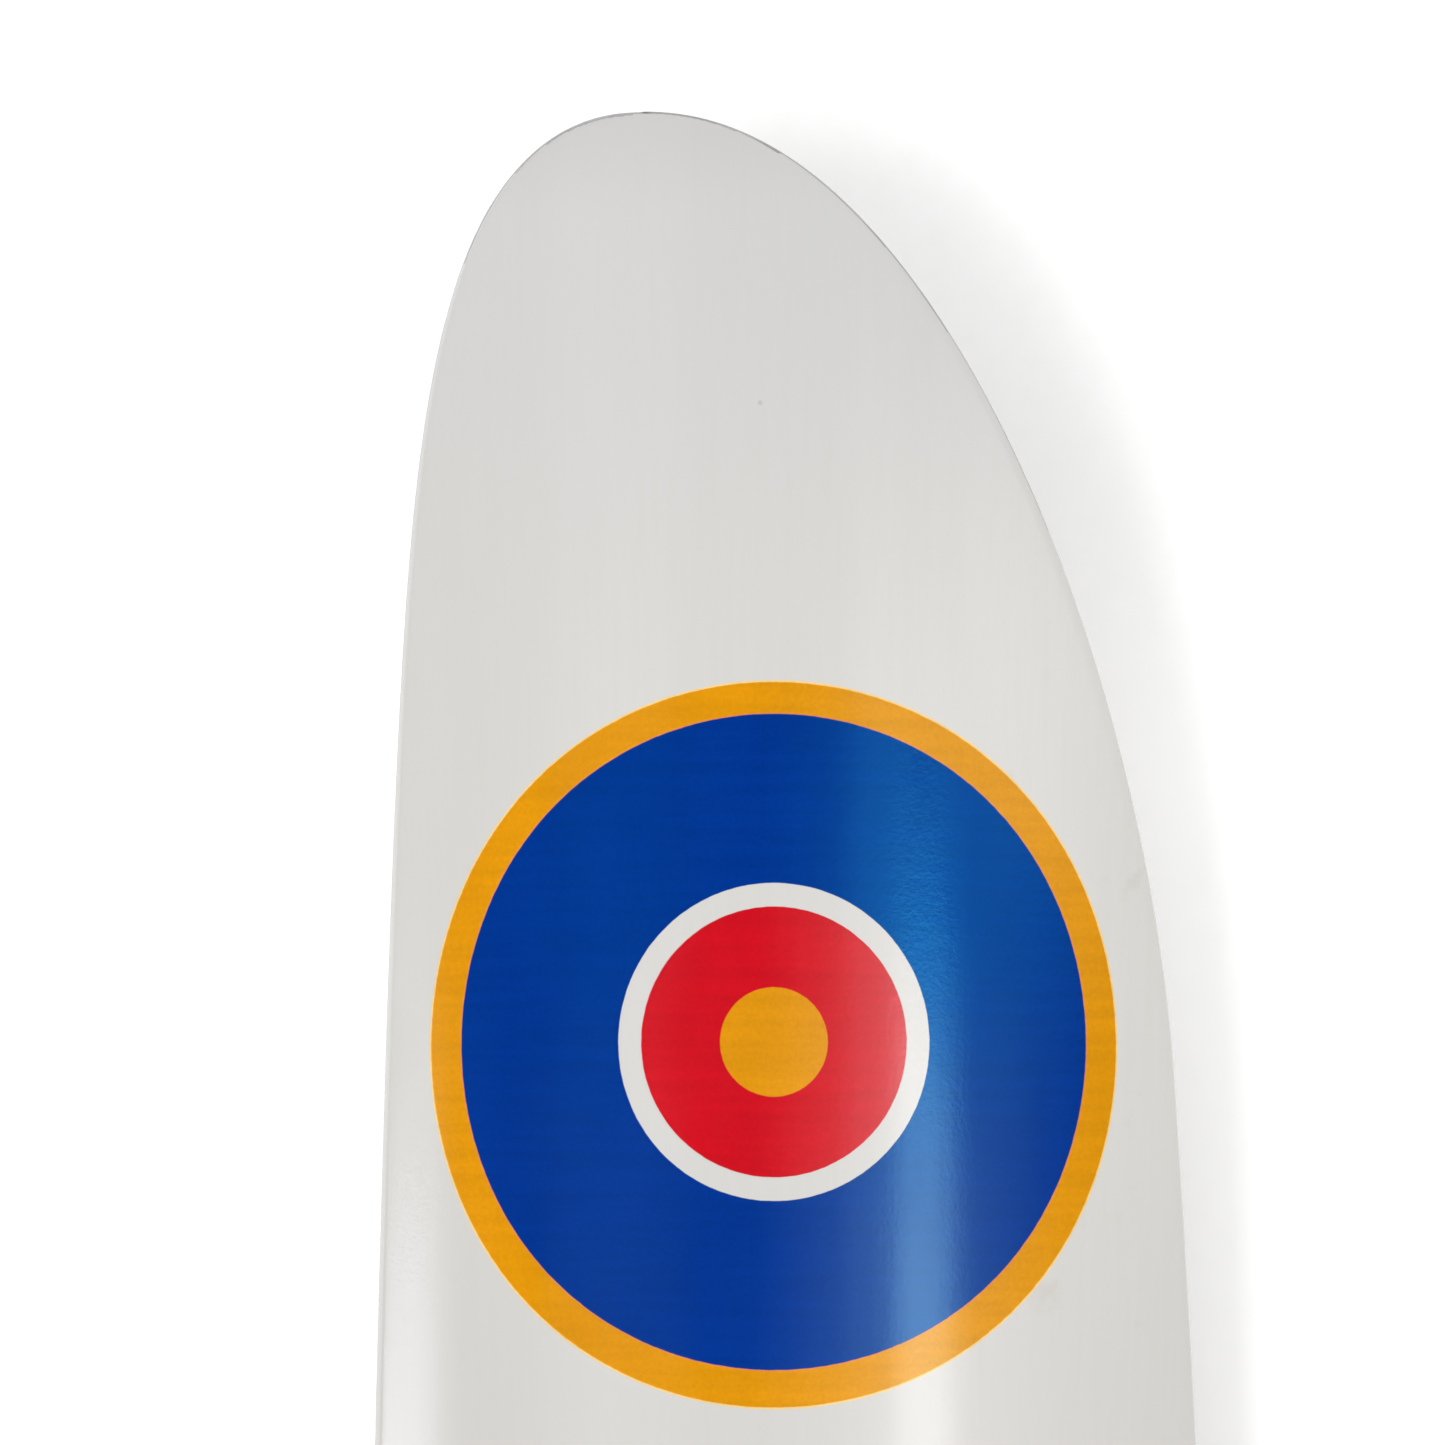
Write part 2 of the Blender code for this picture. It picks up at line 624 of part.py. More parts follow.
def make_elevators():
    low, high = ELEVATOR_X
    stations = with_rims(low, high, 10, TAIL_SHEET / 2)
    rims = rim_of(elevator_edges, list(np.linspace(low, high, 80)), (low, high))
    for side, word in ((1, "left"), (-1, "right")):

        def place(x, y, _half, lift, side=side):
            return side * x, y, TAIL_Z + lift

        mesh = sheet(stations, elevator_edges, flap_thickness, place, rims)
        add_object("elevator_" + word, mesh, "paint", (0, HINGE_Y, TAIL_Z))


def make_rudder():
    low, high = RUDDER_Z
    stations = with_rims(low, high, 10, TAIL_SHEET / 2)
    rims = rim_of(rudder_edges, list(np.linspace(low, high, 80)), (low, high))

    def place(z, y, _half, lift):
        return lift, y, z

    mesh = sheet(stations, rudder_edges, flap_thickness, place, rims)
    add_object("rudder", mesh, "paint", (0, FIN_HINGE_Y, 0))


def make_hinges():
    """Steel wires on the hinge axes, fixed brass tubes at both ends and a moving one between them."""
    wire = [(0, WIRE_R * 0.6), (0.003, WIRE_R), (0.997, WIRE_R), (1, WIRE_R * 0.6)]
    spans = {"inner": (12 * MM, 30 * MM), "outer": (78 * MM, 96 * MM)}
    for side, word in ((1, "left"), (-1, "right")):
        ends = (side * 10 * MM, HINGE_Y, TAIL_Z), (side * 98 * MM, HINGE_Y, TAIL_Z)
        add_object("elevator_wire_" + word, rod(*ends, wire, 12, 0), "steel")
        for name, (start, end) in spans.items():
            ends = (side * start, HINGE_Y, TAIL_Z), (side * end, HINGE_Y, TAIL_Z)
            add_object("tailplane_tube_" + name + "_" + word, tube(*ends, 0), "brass")
        start, end = spans["inner"][1] + TUBE_GAP, spans["outer"][0] - TUBE_GAP
        ends = (side * start, HINGE_Y, TAIL_Z), (side * end, HINGE_Y, TAIL_Z)
        add_object("elevator_tube_" + word, tube(*ends, 0), "brass", (0, HINGE_Y, TAIL_Z))
    ends = (0, FIN_HINGE_Y, 41 * MM), (0, FIN_HINGE_Y, 98 * MM)
    add_object("rudder_wire", rod(*ends, wire, 12, 2), "steel")
    lower, upper = (43 * MM, 53 * MM), (86 * MM, 96 * MM)
    for name, (start, end) in {"fin_tube_lower": lower, "fin_tube_upper": upper}.items():
        add_object(name, tube((0, FIN_HINGE_Y, start), (0, FIN_HINGE_Y, end), 2), "brass")
    ends = (0, FIN_HINGE_Y, lower[1] + TUBE_GAP), (0, FIN_HINGE_Y, upper[0] - TUBE_GAP)
    add_object("rudder_tube", tube(*ends, 2), "brass", (0, FIN_HINGE_Y, 0))


clear_scene()
fuselage_outline = plank_outline()
wing_slot = arch_slot()
brace_low = APEX_Z - WING_SHEET - 2 * GAP - 6 * MM
travel = ARCH_R * math.sin(WING_TRAVEL) + 1.5 * MM
brace_notch = box_cutter(
    "brace_notch_cutter", (-10 * MM, -travel, brace_low - 0.8 * MM), (10 * MM, travel, APEX_Z - WING_SHEET)
)
brace_cutter = box_cutter(
    "brace_rib_cutter", (-10 * MM, -1.3 * MM, brace_low - 0.6 * MM), (10 * MM, 1.3 * MM, APEX_Z)
)
make_plank(fuselage_outline, wing_slot, brace_notch)
make_cheeks(fuselage_outline, wing_slot, brace_notch)
make_nose(fuselage_outline)
make_dowels()
make_belly_skid()
make_cockpit()
make_grip_pads()
make_wing(brace_cutter)
make_tailplane()
make_fin()
make_elevators()
make_rudder()
make_hinges()
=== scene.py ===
"""Looks of the balsa hand glider: fine meshes, lacquer, wood and metal, studio light and camera."""

import json
import math

import bmesh
import bpy
import numpy as np
from mathutils import Matrix, Vector

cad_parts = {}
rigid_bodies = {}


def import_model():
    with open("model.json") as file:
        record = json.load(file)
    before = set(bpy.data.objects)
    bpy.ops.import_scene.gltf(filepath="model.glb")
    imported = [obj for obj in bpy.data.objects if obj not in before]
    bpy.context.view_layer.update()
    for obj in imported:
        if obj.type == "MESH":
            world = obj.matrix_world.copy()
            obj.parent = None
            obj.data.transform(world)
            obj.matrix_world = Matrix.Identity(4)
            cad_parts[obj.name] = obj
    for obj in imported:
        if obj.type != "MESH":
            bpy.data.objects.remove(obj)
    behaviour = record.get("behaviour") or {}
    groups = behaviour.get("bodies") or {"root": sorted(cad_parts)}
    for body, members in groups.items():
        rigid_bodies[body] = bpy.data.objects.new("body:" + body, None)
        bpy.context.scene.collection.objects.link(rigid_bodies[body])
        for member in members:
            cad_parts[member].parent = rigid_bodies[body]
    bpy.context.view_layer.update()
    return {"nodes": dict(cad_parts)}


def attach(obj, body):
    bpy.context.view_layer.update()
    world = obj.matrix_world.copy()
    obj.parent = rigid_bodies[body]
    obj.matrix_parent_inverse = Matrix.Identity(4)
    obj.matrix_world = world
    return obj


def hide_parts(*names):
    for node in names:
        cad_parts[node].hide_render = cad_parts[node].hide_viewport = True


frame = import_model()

MM = 0.001

# ---- the model's own sizes, as in the CAD -----------------------------------------------------
HALF_SPAN = 300 * MM
GAP = 0.3 * MM
ARCH_R = 94 * MM
APEX_Z = 30 * MM
DIHEDRAL = math.tan(math.radians(3.5))
WING_SHEET = 3.0 * MM
TRAILING_SHEET = 0.9 * MM
SANDED_FROM = 0.65  # share of the chord where the sheet starts to thin towards its trailing edge
TIP_SHEET_SHARE, TIP_SANDED = 0.6, 60 * MM  # the sheet's thickness at the tip, and how fast it grows
TIP_Y = -17.1 * MM
LEADING = {"depth": 27.25 * MM, "length": 300 * MM, "power": 14.1, "root": 2.18, "sweep": -0.0525}
TRAILING = {"depth": 56.5 * MM, "length": 118 * MM, "power": 1.78, "root": 2.18, "sweep": 0.1162}
PLANK_W = 8 * MM
BELLY_Z, DECK_Z = 1.9 * MM, 46 * MM
CAP_T, RIVET_HEAD_R, RIVET_SHANK_R = 0.8 * MM, 1.9 * MM, 0.9 * MM
RIVETS = {"nose_rivet_upper": (-136.5 * MM, 27.5 * MM), "nose_rivet_lower": (-136.5 * MM, 16.5 * MM)}
TAIL_SHEET, TAIL_EDGE = 3.0 * MM, 1.1 * MM
HINGE_Y, TAIL_Z = 256 * MM, 27 * MM
TAIL_HALF_SPAN, TAIL_CHORD = 110 * MM, 54.5 * MM
ELEVATOR_X, ELEVATOR_CHORD = (8 * MM, 101 * MM), 26 * MM
FIN_HINGE_Y, FIN_BASE_Z, FIN_TOP_Z, FIN_CHORD = 258 * MM, 32.6 * MM, 106 * MM, 54 * MM
RUDDER_Z, RUDDER_CHORD = (39 * MM, 104 * MM), 31 * MM
HINGE_INSET = 1.5 * MM

# ---- the ring marking on each wing ------------------------------------------------------------
RING_X = 184.25 * MM  # distance of its centre from the centre line, along the panel
RING_SQUASH = 0.988  # chordwise size as a share of its spanwise size
RING_DOT = 6.8 * MM
RING_RED = 16.83 * MM
RING_WHITE = 19.75 * MM
RING_BLUE = 40.77 * MM
RING_RIM = 45.28 * MM
RIM_SHIFT = 0.35 * MM  # the rim's own centre lies this far inboard of the other rings'
PAINT_BLUR = 0.07 * MM  # softness of a painted edge

# ---- colours, and the painted shade along the wing's rims --------------------------------------
CREAM = (0.534, 0.525, 0.503)
RED = (0.485, 0.0022, 0.0095)
BLUE = (0.0004, 0.0262, 0.215)
YELLOW = (0.575, 0.232, 0.0012)
BIRCH = (0.60, 0.38, 0.19), (0.44, 0.25, 0.11)  # pale and dark
PLY_PITCH = 1.0 * MM  # one pale ply and one dark one
RIM_SHADE_FRONT, RIM_SHADE_BACK = 0.5 * MM, 0.28 * MM  # width of the band of painted shade along the wing's rims


# ---- node graphs ------------------------------------------------------------------------------
class Nodes:
    """A node tree, with short names for the few kinds of node that the finishes and lights use."""

    def __init__(self, tree):
        self.tree = tree

    def put(self, socket, value):
        if isinstance(value, bpy.types.NodeSocket):
            self.tree.links.new(value, socket)
        elif value is not None:
            socket.default_value = value

    def math(self, operation, first, second=None, third=None):
        node = self.tree.nodes.new("ShaderNodeMath")
        node.operation = operation
        for socket, value in zip(node.inputs, (first, second, third)):
            self.put(socket, value)
        return node.outputs[0]

    def axes(self, vector):
        node = self.tree.nodes.new("ShaderNodeSeparateXYZ")
        self.put(node.inputs[0], vector)
        return node.outputs

    def vector(self, x, y, z):
        node = self.tree.nodes.new("ShaderNodeCombineXYZ")
        for socket, value in zip(node.inputs, (x, y, z)):
            self.put(socket, value)
        return node.outputs[0]

    def scaled(self, vector, scale):
        node = self.tree.nodes.new("ShaderNodeVectorMath")
        node.operation = "MULTIPLY"
        self.put(node.inputs[0], vector)
        node.inputs[1].default_value = scale
        return node.outputs[0]

    def noise(self, vector, scale=1.0, detail=3.0, roughness=0.5, distortion=0.0):
        node = self.tree.nodes.new("ShaderNodeTexNoise")
        self.put(node.inputs["Vector"], vector)
        node.inputs["Scale"].default_value = scale
        node.inputs["Detail"].default_value = detail
        node.inputs["Roughness"].default_value = roughness
        node.inputs["Distortion"].default_value = distortion
        return node.outputs["Fac"]

    def cells(self, vector, scale):
        node = self.tree.nodes.new("ShaderNodeTexVoronoi")
        self.put(node.inputs["Vector"], vector)
        node.inputs["Scale"].default_value = scale
        return node.outputs

    def step(self, value, low, high, start=0.0, end=1.0):
        node = self.tree.nodes.new("ShaderNodeMapRange")
        node.interpolation_type = "SMOOTHSTEP"
        for socket, item in zip(node.inputs, (value, low, high, start, end)):
            self.put(socket, item)
        return node.outputs[0]

    def mix(self, share, first, second, blend="MIX"):
        node = self.tree.nodes.new("ShaderNodeMix")
        node.data_type = "RGBA"
        node.blend_type = blend
        for name, value in (("Factor_Float", share), ("A_Color", first), ("B_Color", second)):
            socket = next(item for item in node.inputs if item.identifier == name)
            self.put(socket, (*value, 1.0) if isinstance(value, tuple) else value)
        return next(item for item in node.outputs if item.identifier == "Result_Color")

    def bump(self, height, distance, under=None):
        node = self.tree.nodes.new("ShaderNodeBump")
        node.inputs["Strength"].default_value = 1.0
        node.inputs["Distance"].default_value = distance
        self.put(node.inputs["Height"], height)
        self.put(node.inputs["Normal"], under)
        return node.outputs[0]


class Graph(Nodes):
    """A material's nodes, with the place on the object at rest to work from."""

    def __init__(self, name):
        self.material = bpy.data.materials.new(name)
        self.material.use_nodes = True
        super().__init__(self.material.node_tree)
        self.shader = self.tree.nodes["Principled BSDF"]
        self.place = self.tree.nodes.new("ShaderNodeTexCoord").outputs["Object"]

    def outboard(self):
        """Distance from the centre line, along the span."""
        return self.math("ABSOLUTE", self.axes(self.place)[0])

    def finish(self, colour, roughness, normal=None, **fixed):
        self.put(self.shader.inputs["Base Color"], colour)
        self.put(self.shader.inputs["Roughness"], roughness)
        self.put(self.shader.inputs["Normal"], normal)
        for name, value in fixed.items():
            self.shader.inputs[name.replace("_", " ")].default_value = value
        return self.material


def shaded(colour, share):
    return tuple(channel * share for channel in colour)


def lacquer_colour(g, mottle):
    """Cream lacquer with slow shifts of tone, brown smudges, faint grain and specks; painted light
    lightens its rear, painted shade darkens its front, its inner part and, cooler, its tips.
    """
    slow = g.noise(g.scaled(g.place, (6.0, 16.0, 16.0)), 1.0, 2.0)
    cool = tuple(c * s for c, s in zip(CREAM, (0.965, 0.965, 0.985)))
    tone = g.mix(g.step(slow, 0.35, 0.7), CREAM, cool)
    y = g.axes(g.place)[1]
    # painted light: the rear of the chord lighter
    tone = g.mix(g.step(y, 4 * MM, 44 * MM), tone, shaded(CREAM, 1.055))
    # painted shade: the front of the chord darker
    tone = g.mix(g.step(y, -20 * MM, -40 * MM), tone, shaded(CREAM, 0.955))
    smudge = g.step(g.noise(g.place, 95.0, 4.0, 0.6), 0.60, 0.72, 0.0, 0.20)
    tone = g.mix(g.math("MULTIPLY", smudge, g.step(y, 22 * MM, 32 * MM)), tone, (0.40, 0.34, 0.28))
    outboard = g.outboard()
    # painted shade: the inner wing a little darker
    painted_shade_inboard = g.mix(1.0, tone, (0.972, 0.972, 0.975), "MULTIPLY")
    tone = g.mix(g.step(outboard, 185 * MM, 140 * MM), tone, painted_shade_inboard)
    # painted shade: darker and cooler towards the tip
    tone = g.mix(g.step(outboard, 225 * MM, 288 * MM), tone, (0.498, 0.493, 0.491))
    tone = g.mix(g.step(outboard, 286 * MM, 300 * MM), tone, (0.466, 0.460, 0.458))
    grain = g.noise(g.scaled(g.place, (14.0, 900.0, 900.0)), 1.0, 4.0, 0.6)
    tone = g.mix(g.step(grain, 0.35, 0.75, 0.0, 0.10), tone, (0.47, 0.44, 0.40))
    specks = g.cells(g.place, 95.0)
    rare = g.math("GREATER_THAN", g.axes(specks["Color"])[0], 0.93)
    speck = g.math("MULTIPLY", g.step(specks["Distance"], 0.035, 0.02), rare)
    tone = g.mix(g.math("MULTIPLY", speck, 0.4), tone, (0.33, 0.28, 0.22))
    return g.mix(g.step(mottle, 0.3, 0.8, 0.0, 0.05), tone, (0.44, 0.43, 0.42))


def lacquer_relief(g, mottle):
    """Grain telegraphing through the lacquer, orange peel and dust nibs."""
    grain = g.noise(g.scaled(g.place, (16.0, 620.0, 620.0)), 1.0, 3.0, 0.55)
    peel = g.noise(g.place, 420.0, 2.0)
    specks = g.cells(g.place, 62.0)
    rare = g.math("GREATER_THAN", g.axes(specks["Color"])[1], 0.72)
    nib = g.math("MULTIPLY", g.step(specks["Distance"], 0.030, 0.0), rare)
    first = g.bump(grain, 0.005 * MM)
    second = g.bump(peel, 0.005 * MM, first)
    third = g.bump(mottle, 0.006 * MM, second)
    return g.bump(nib, 0.10 * MM, third)


def ring_radius(g, shift):
    """Distance from the marking's centre, over the arched sheet's own surface."""
    angle = g.math("ARCSINE", g.math("DIVIDE", g.axes(g.place)[1], ARCH_R))
    arc = g.math("MULTIPLY", angle, ARCH_R / RING_SQUASH)
    along = g.math("SUBTRACT", g.outboard(), RING_X - shift)
    return g.math("SQRT", g.math("ADD", g.math("MULTIPLY", arc, arc), g.math("MULTIPLY", along, along)))


def ring_zone(g, outer, outer_edge, inner, inner_edge):
    """1 between two of the marking's edges and 0 beyond them."""
    within = g.step(outer, outer_edge, outer_edge - PAINT_BLUR)
    beyond = g.step(inner, inner_edge, inner_edge + PAINT_BLUR)
    return g.math("MULTIPLY", within, beyond)


def ring_marking(g, plain, mottle):
    """The rings painted over the plain lacquer, and the tint that their paint gives to reflections."""
    wander = g.math("MULTIPLY", g.math("SUBTRACT", g.noise(g.place, 900.0, 1.0), 0.5), 0.10 * MM)
    inner = g.math("ADD", ring_radius(g, 0.0), wander)
    rim = g.math("ADD", ring_radius(g, RIM_SHIFT), wander)
    shade = g.step(mottle, 0.25, 0.75, 0.95, 1.05)
    patches = g.noise(g.scaled(g.place, (30.0, 120.0, 120.0)), 1.0, 3.0)
    strokes = g.noise(g.scaled(g.place, (760.0, 60.0, 60.0)), 1.0, 3.0)
    slow = g.step(patches, 0.3, 0.7, 0.97, 1.03)
    brushed = g.step(strokes, 0.3, 0.7, 0.955, 1.045)
    tint = g.math("MULTIPLY", g.math("MULTIPLY", shade, slow), brushed)
    bands = (
        (rim, RING_RIM, (0.72, 0.50, 0.19)),
        (rim, RING_RIM - 0.22 * MM, YELLOW),
        (inner, RING_BLUE + 0.16 * MM, (0.62, 0.20, 0.05)),
        (inner, RING_BLUE, BLUE),
        (inner, RING_WHITE, None),
        (inner, RING_RED, RED),
        (inner, RING_DOT, YELLOW),
    )
    colour = plain
    for radius, edge, paint in bands:
        layer = plain
        if paint:
            layer = g.mix(1.0, paint, g.vector(tint, tint, tint), "MULTIPLY")
        colour = g.mix(g.step(radius, edge + PAINT_BLUR, edge - PAINT_BLUR), colour, layer)
    over_blue = ring_zone(g, inner, RING_BLUE, inner, RING_WHITE)
    over_rim = ring_zone(g, rim, RING_RIM, inner, RING_BLUE)
    outer_half = g.step(g.outboard(), 158 * MM, 202 * MM)
    blue_gloss = g.mix(outer_half, (0.46, 1.0, 1.28), (0.10, 1.0, 1.6))
    gloss_tint = g.mix(over_blue, (1.0, 1.0, 1.0), blue_gloss)
    return colour, g.mix(over_rim, gloss_tint, (1.0, 1.0, 0.65))


def lacquer(name, marked=False, rubbed=False):
    """The wing's gloss finish: plain, with the ring marking, or darkened with painted shade for the rims.
    """
    g = Graph(name)
    mottle = g.noise(g.place, 1900.0, 2.0, 0.6)
    colour = lacquer_colour(g, mottle)
    if rubbed:
        # painted shade: the lacquer along the rims darkened towards grey, in random patches
        rim_shade_patches = g.step(g.noise(g.place, 260.0, 3.0), 0.35, 0.7)
        colour = g.mix(1.0, colour, g.mix(rim_shade_patches, (0.68, 0.67, 0.68), (0.55, 0.54, 0.54)), "MULTIPLY")
    if marked:
        colour, gloss_tint = ring_marking(g, colour, mottle)
        g.put(g.shader.inputs["Specular Tint"], gloss_tint)
    worn = g.noise(g.scaled(g.place, (60.0, 200.0, 200.0)), 1.0, 4.0)
    roughness = g.step(worn, 0.2, 0.8, 0.100, 0.136)
    return g.finish(colour, roughness, lacquer_relief(g, mottle), IOR=1.53)


def wood(name, pale, dark, along, fine=1.0, gloss=0.38, ply_axis=None):
    """Varnished wood: long fibres along one axis, darker growth bands, pores and a satin varnish."""
    g = Graph(name)

    def drawn_out(across_scale, along_scale):
        scales = [across_scale * fine] * 3
        scales[along] = along_scale
        return g.scaled(g.place, tuple(scales))

    fibre = g.noise(drawn_out(170.0, 7.0), 1.0, 5.0, 0.62, 0.4)
    band = g.noise(drawn_out(38.0, 1.6), 1.0, 3.0, 0.5, 0.8)
    pore = g.noise(drawn_out(900.0, 45.0), 1.0, 2.0, 0.5)
    colour = g.mix(g.step(fibre, 0.3, 0.75, 0.0, 0.7), pale, dark)
    colour = g.mix(g.step(band, 0.42, 0.68, 0.0, 0.45), colour, shaded(dark, 0.72))
    colour = g.mix(g.step(pore, 0.60, 0.74, 0.0, 0.55), colour, shaded(dark, 0.45))
    if ply_axis is not None:
        through = g.math("ABSOLUTE", g.axes(g.place)[ply_axis])
        layer = g.math("FRACT", g.math("MULTIPLY", through, 1 / PLY_PITCH))
        colour = g.mix(g.step(layer, 0.45, 0.55, 0.0, 0.25), colour, shaded(dark, 0.6))
    relief = g.bump(fibre, 0.04 * MM)
    relief = g.bump(pore, 0.05 * MM, relief)
    roughness = g.step(fibre, 0.2, 0.8, gloss, gloss + 0.14)
    return g.finish(colour, roughness, relief, Coat_Weight=0.25, Coat_Roughness=0.18)


def metal(name, colour, tarnish, roughness):
    """Bare metal with handling scratches, cloudy tarnish and a faint hammered wave."""
    g = Graph(name)
    cloud = g.noise(g.place, 160.0, 4.0, 0.6)
    scratch = g.noise(g.scaled(g.place, (2600.0, 130.0, 2600.0)), 1.0, 2.0)
    tone = g.mix(g.step(cloud, 0.42, 0.7, 0.0, 0.45), colour, tarnish)
    tone = g.mix(g.step(scratch, 0.62, 0.75, 0.0, 0.3), tone, tuple(min(1.0, c * 1.15) for c in colour))
    relief = g.bump(scratch, 0.003 * MM)
    relief = g.bump(g.noise(g.place, 120.0, 1.0), 0.02 * MM, relief)
    clouded = g.step(cloud, 0.3, 0.75, roughness, roughness + 0.18)
    rough = g.math("ADD", clouded, g.step(scratch, 0.6, 0.8, 0.0, 0.1))
    return g.finish(tone, rough, relief, Metallic=0.6)


def cork(name):
    """Pressed cork: pale and brown grains with dark pits between them."""
    g = Graph(name)
    grains = g.cells(g.place, 620.0)
    dark = g.noise(g.place, 260.0, 3.0, 0.6)
    brown = g.step(g.axes(grains["Color"])[0], 0.0, 1.0, 0.0, 0.7)
    tone = g.mix(brown, (0.50, 0.31, 0.16), (0.33, 0.18, 0.08))
    tone = g.mix(g.step(dark, 0.60, 0.70), tone, (0.10, 0.05, 0.025))
    relief = g.bump(grains["Distance"], 0.12 * MM)
    relief = g.bump(dark, 0.25 * MM, relief)
    return g.finish(tone, g.step(dark, 0.4, 0.7, 0.75, 0.95), relief)


def moulded(name, colour):
    """Blue moulded canopy plastic: deep gloss, faint flow waves and fine rubs."""
    g = Graph(name)
    wave = g.noise(g.place, 90.0, 2.0)
    rub = g.noise(g.scaled(g.place, (300.0, 2400.0, 600.0)), 1.0, 2.0)
    tone = g.mix(g.step(wave, 0.3, 0.7), colour, shaded(colour, 0.8))
    rough = g.step(rub, 0.55, 0.8, 0.05, 0.22)
    relief = g.bump(wave, 0.02 * MM)
    gloss = {"Coat_Weight": 0.6, "Coat_Roughness": 0.04, "Transmission_Weight": 0.35, "IOR": 1.49}
    return g.finish(tone, rough, relief, **gloss)


def floor_paint():
    """A pale sheet that glows a little, more under the wing's roots than its tips: painted light that
    lightens the shadow there.
    """
    g = Graph("floor_sheet")
    speck = g.noise(g.place, 300.0, 3.0)
    # painted light: the sheet glows, most under the inner wing
    g.put(g.shader.inputs["Emission Strength"], g.step(g.outboard(), 265 * MM, 215 * MM, 0.0, 0.10))
    g.shader.inputs["Emission Color"].default_value = (1.0, 1.0, 1.0, 1.0)
    tone = g.mix(g.step(speck, 0.3, 0.7), (0.955, 0.955, 0.955), (0.94, 0.94, 0.937))
    rough = g.step(speck, 0.3, 0.7, 0.85, 0.95)
    return g.finish(tone, rough, g.bump(speck, 0.02 * MM), Specular_IOR_Level=0.1)


FINISH = {
    "marked": lacquer("wing_lacquer_marked", marked=True),
    "lacquer": lacquer("white_lacquer"),
    # lacquer darkened with painted shade, for the wing's rims
    "rubbed": lacquer("lacquer_rubbed_rim", rubbed=True),
    "balsa_y": wood("balsa_along_body", (0.66, 0.47, 0.29), (0.52, 0.33, 0.17), 1),
    "balsa_rib": wood("balsa_former", (0.68, 0.50, 0.32), (0.55, 0.36, 0.20), 1),
    "birch": wood("birch_ply", *BIRCH, 1, 1.3, 0.33, 0),
    "birch_flat": wood("birch_ply_flat", *BIRCH, 1, 1.3, 0.33, 2),
    "birch_across": wood("birch_ply_blade", *BIRCH, 0, 1.3, 0.33, 1),
    "spruce": wood("spruce_runner", (0.55, 0.33, 0.14), (0.38, 0.19, 0.07), 1, 1.6, 0.30),
    "dowel": wood("spruce_dowel", (0.62, 0.42, 0.22), (0.42, 0.24, 0.10), 0, 2.0, 0.40),
    "brass": metal("brass", (0.80, 0.58, 0.25), (0.52, 0.33, 0.12), 0.26),
    "steel": metal("spring_steel", (0.62, 0.63, 0.65), (0.42, 0.42, 0.44), 0.28),
    "lead": metal("cast_lead", (0.30, 0.31, 0.34), (0.16, 0.16, 0.18), 0.45),
    "canopy": moulded("canopy_blue", (0.02, 0.13, 0.42)),
    "cork": cork("cork_sheet"),
}


# ---- outlines ---------------------------------------------------------------------------------
def wing_edge(inboard, edge, direction):
    left = np.clip(1 - inboard / edge["length"], 0, 1)
    depth = edge["depth"] * (1 - left ** edge["power"]) ** (1 / edge["root"])
    return TIP_Y + direction * depth + edge["sweep"] * (inboard - inboard**2 / (2 * HALF_SPAN))


def wing_edges(inboard):
    return wing_edge(inboard, LEADING, -1), wing_edge(inboard, TRAILING, 1)


def superellipse(share, power, root):
    return np.clip(1 - np.abs(share) ** power, 0, 1) ** (1 / root)


def tailplane_edges(x):
    back = HINGE_Y - HINGE_INSET
    return back - TAIL_CHORD * superellipse(x / TAIL_HALF_SPAN, 2.3, 1.9), back + 0 * x


def elevator_edges(x):
    front = HINGE_Y + HINGE_INSET
    return front + 0 * x, front + ELEVATOR_CHORD * superellipse(x / (TAIL_HALF_SPAN - 4 * MM), 2.6, 2.0)


def fin_edges(z):
    back = FIN_HINGE_Y - HINGE_INSET
    share = (z - FIN_BASE_Z) / (FIN_TOP_Z - FIN_BASE_Z)
    return back - FIN_CHORD * superellipse(share, 1.7, 1.9), back + 0 * z


def rudder_edges(z):
    front, middle = FIN_HINGE_Y + HINGE_INSET, 62 * MM
    reach = np.where(z > middle, FIN_TOP_Z - middle, 46 * MM)
    return front + 0 * z, front + RUDDER_CHORD * superellipse((z - middle) / reach, 2.2, 1.9)


# ---- meshes -----------------------------------------------------------------------------------
RIM_STEPS = 7  # points round a rounded rim


def add_piece(name, points, faces, materials, body, slot, stands_for, choice=None):
    """One visible piece: its mesh, smooth shading, materials, and the body and CAD node it belongs to."""
    mesh = bpy.data.meshes.new(name)
    mesh.from_pydata([tuple(point) for point in points], [], [tuple(face) for face in faces])
    for item in materials:
        mesh.materials.append(item)
    if choice is not None:
        mesh.polygons.foreach_set("material_index", choice)
    mesh.shade_smooth()
    mesh.set_sharp_from_angle(angle=math.radians(40))
    for face in mesh.polygons:
        face.use_smooth = len(face.vertices) <= 4
    mesh.update()
    obj = bpy.data.objects.new(name, mesh)
    bpy.context.scene.collection.objects.link(obj)
    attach(obj, body)
    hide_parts(*stands_for)


def distance_to(line, places):
    """Shortest distance from each place to an open line of points."""
    start, run = line[:-1], line[1:] - line[:-1]
    length = np.maximum((run**2).sum(axis=1), 1e-18)
    best = np.full(len(places), 1e9)
    for first in range(0, len(places), 4000):
        part = places[first : first + 4000]
        offset = part[:, None, :] - start[None]
        share = np.clip((offset * run[None]).sum(axis=2) / length, 0, 1)
        gap = offset - share[:, :, None] * run[None]
        best[first : first + 4000] = np.sqrt((gap**2).sum(axis=2).min(axis=1))
    return best


